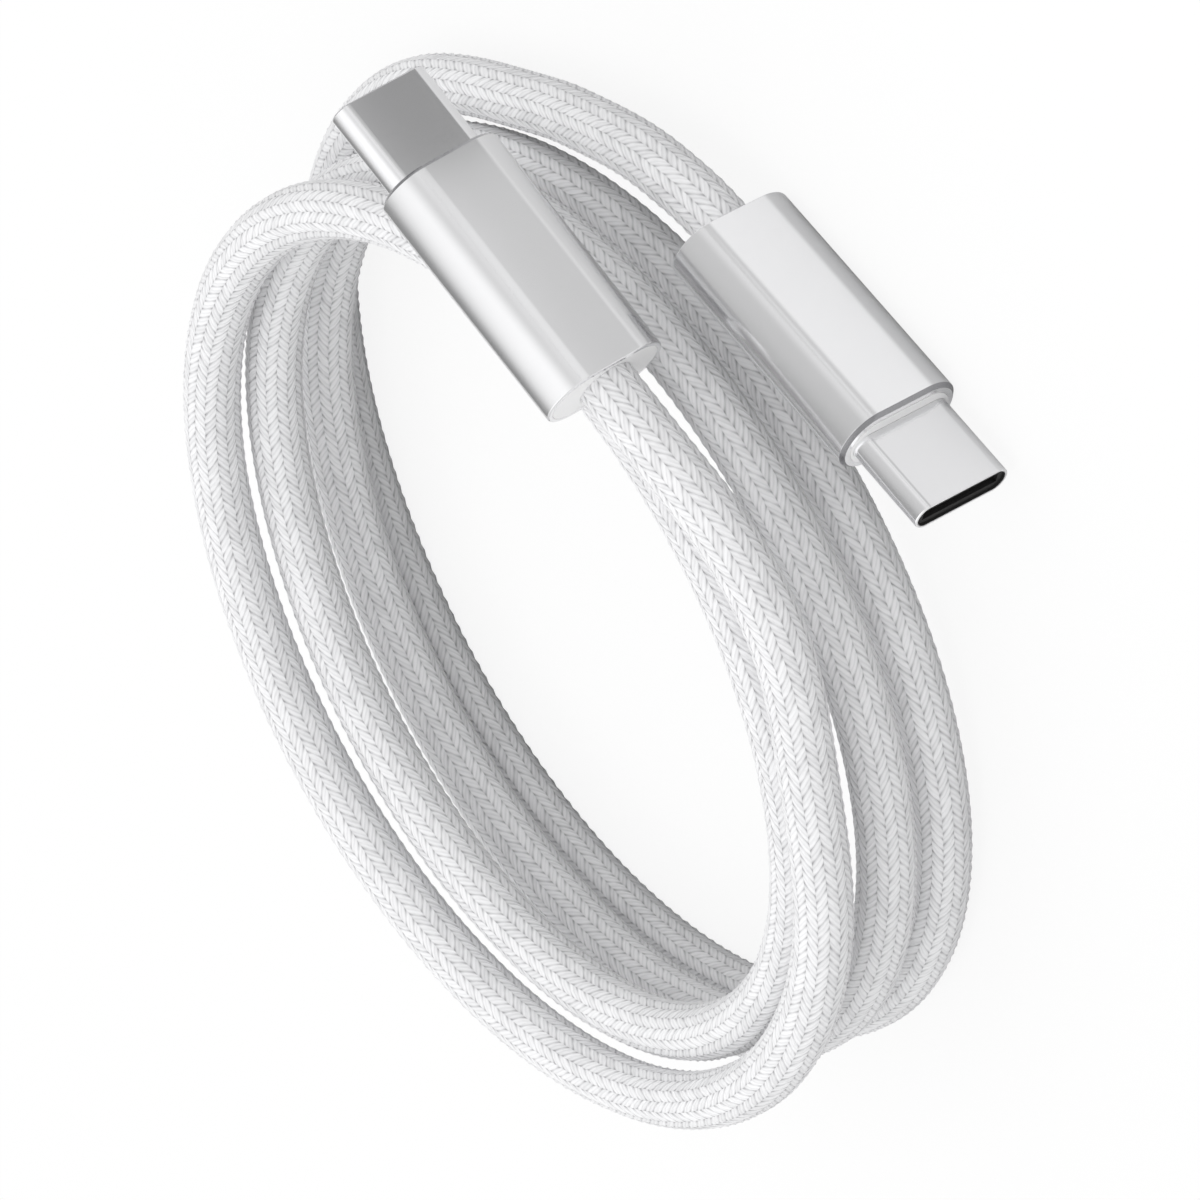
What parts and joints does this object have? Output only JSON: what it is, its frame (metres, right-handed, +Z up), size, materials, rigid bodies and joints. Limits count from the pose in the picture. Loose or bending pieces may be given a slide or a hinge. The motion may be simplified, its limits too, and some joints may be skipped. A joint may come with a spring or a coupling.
{
  "type": "charging cable",
  "caption": "Braided charging cable lying as a loose coil, with a slim metal reversible plug at each end.",
  "frame": {"origin": "on the flat underside of the coil's lowest turn, at table height", "axes": "+Z up from the table, +X towards the upper plug's side of the coil, -Y towards the plugs"},
  "size_m": [0.0816, 0.0946, 0.0246],
  "materials": {
    "braid": "woven",
    "satin_aluminium": "satin",
    "plated_steel": "satin",
    "spring_steel": "satin",
    "white_plastic": "smooth",
    "moulding": "matt",
    "black_plastic": "fine grain",
    "gold_contacts": "plated",
    "board_laminate": "satin",
    "chip_resin": "matt",
    "solder": "satin",
    "wire_cover": "satin",
    "signal_cover": "satin",
    "jacket": "matt"
  },
  "bodies": {
    "root": {"coiled_cord": "braid", "lower_lead": "braid", "upper_lead": "braid", "lower_plug_shell": "plated_steel", "lower_contact_carrier": "black_plastic", "lower_power_contacts": "gold_contacts", "lower_return_contacts": "gold_contacts", "lower_latch_spring": "spring_steel", "lower_ground_springs": "spring_steel", "lower_circuit_board": "board_laminate", "lower_board_parts": "chip_resin", "lower_solder_pads": "solder", "lower_power_wires": "wire_cover", "lower_signal_wires": "signal_cover", "lower_screen_can": "spring_steel", "lower_inner_mould": "moulding", "lower_housing_sleeve": "satin_aluminium", "lower_front_collar": "white_plastic", "lower_rear_cap": "white_plastic", "lower_cord_end": "braid", "lower_inner_jacket": "jacket", "lower_crimp_ring": "plated_steel", "upper_plug_shell": "plated_steel", "upper_contact_carrier": "black_plastic", "upper_power_contacts": "gold_contacts", "upper_return_contacts": "gold_contacts", "upper_latch_spring": "spring_steel", "upper_ground_springs": "spring_steel", "upper_circuit_board": "board_laminate", "upper_board_parts": "chip_resin", "upper_solder_pads": "solder", "upper_power_wires": "wire_cover", "upper_signal_wires": "signal_cover", "upper_screen_can": "spring_steel", "upper_inner_mould": "moulding", "upper_housing_sleeve": "satin_aluminium", "upper_front_collar": "white_plastic", "upper_rear_cap": "white_plastic", "upper_cord_end": "braid", "upper_inner_jacket": "jacket", "upper_crimp_ring": "plated_steel"}
  },
  "joints": []
}
